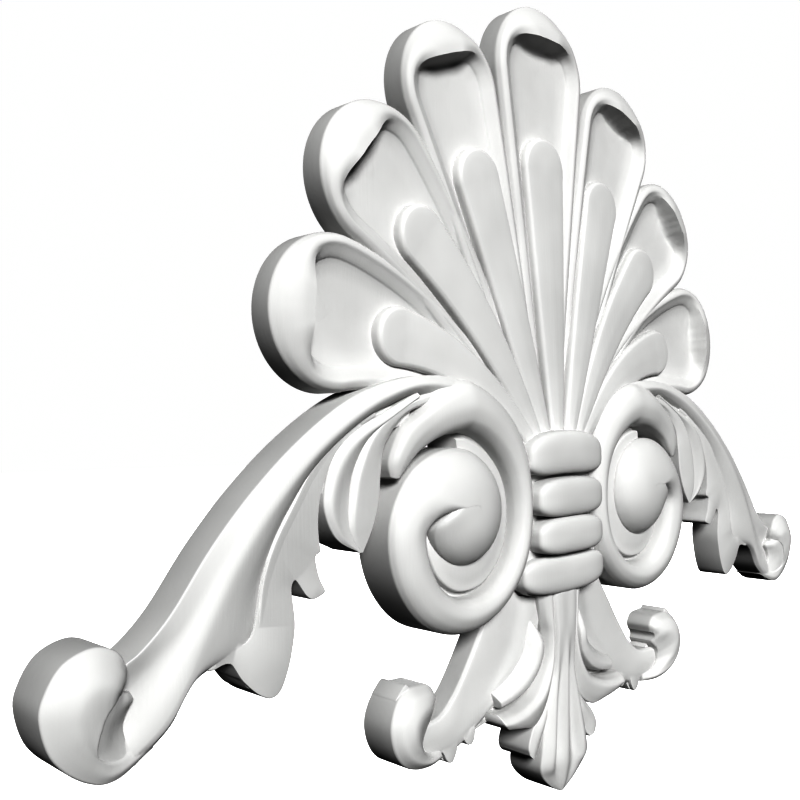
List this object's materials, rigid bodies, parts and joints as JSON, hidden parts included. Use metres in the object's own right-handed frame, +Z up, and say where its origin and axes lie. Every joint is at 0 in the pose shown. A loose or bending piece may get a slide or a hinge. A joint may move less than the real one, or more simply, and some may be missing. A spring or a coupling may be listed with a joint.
{
  "type": "carved wood onlay",
  "caption": "Carved wood onlay, painted white: a shell over two bound volutes, with leafy arms ending in scrolls and a leaf pendant.",
  "frame": {"origin": "on the flat back, on the line of symmetry, where the shell's lobes meet above the bound volutes", "axes": "+X to the onlay's right as a viewer sees it, +Y into the wall behind it, +Z up; the carved face looks along -Y"},
  "size_m": [0.302, 0.0172, 0.2249],
  "materials": {
    "painted_wood": "matt paint"
  },
  "bodies": {
    "root": {"carved_onlay": "painted_wood"}
  },
  "joints": []
}
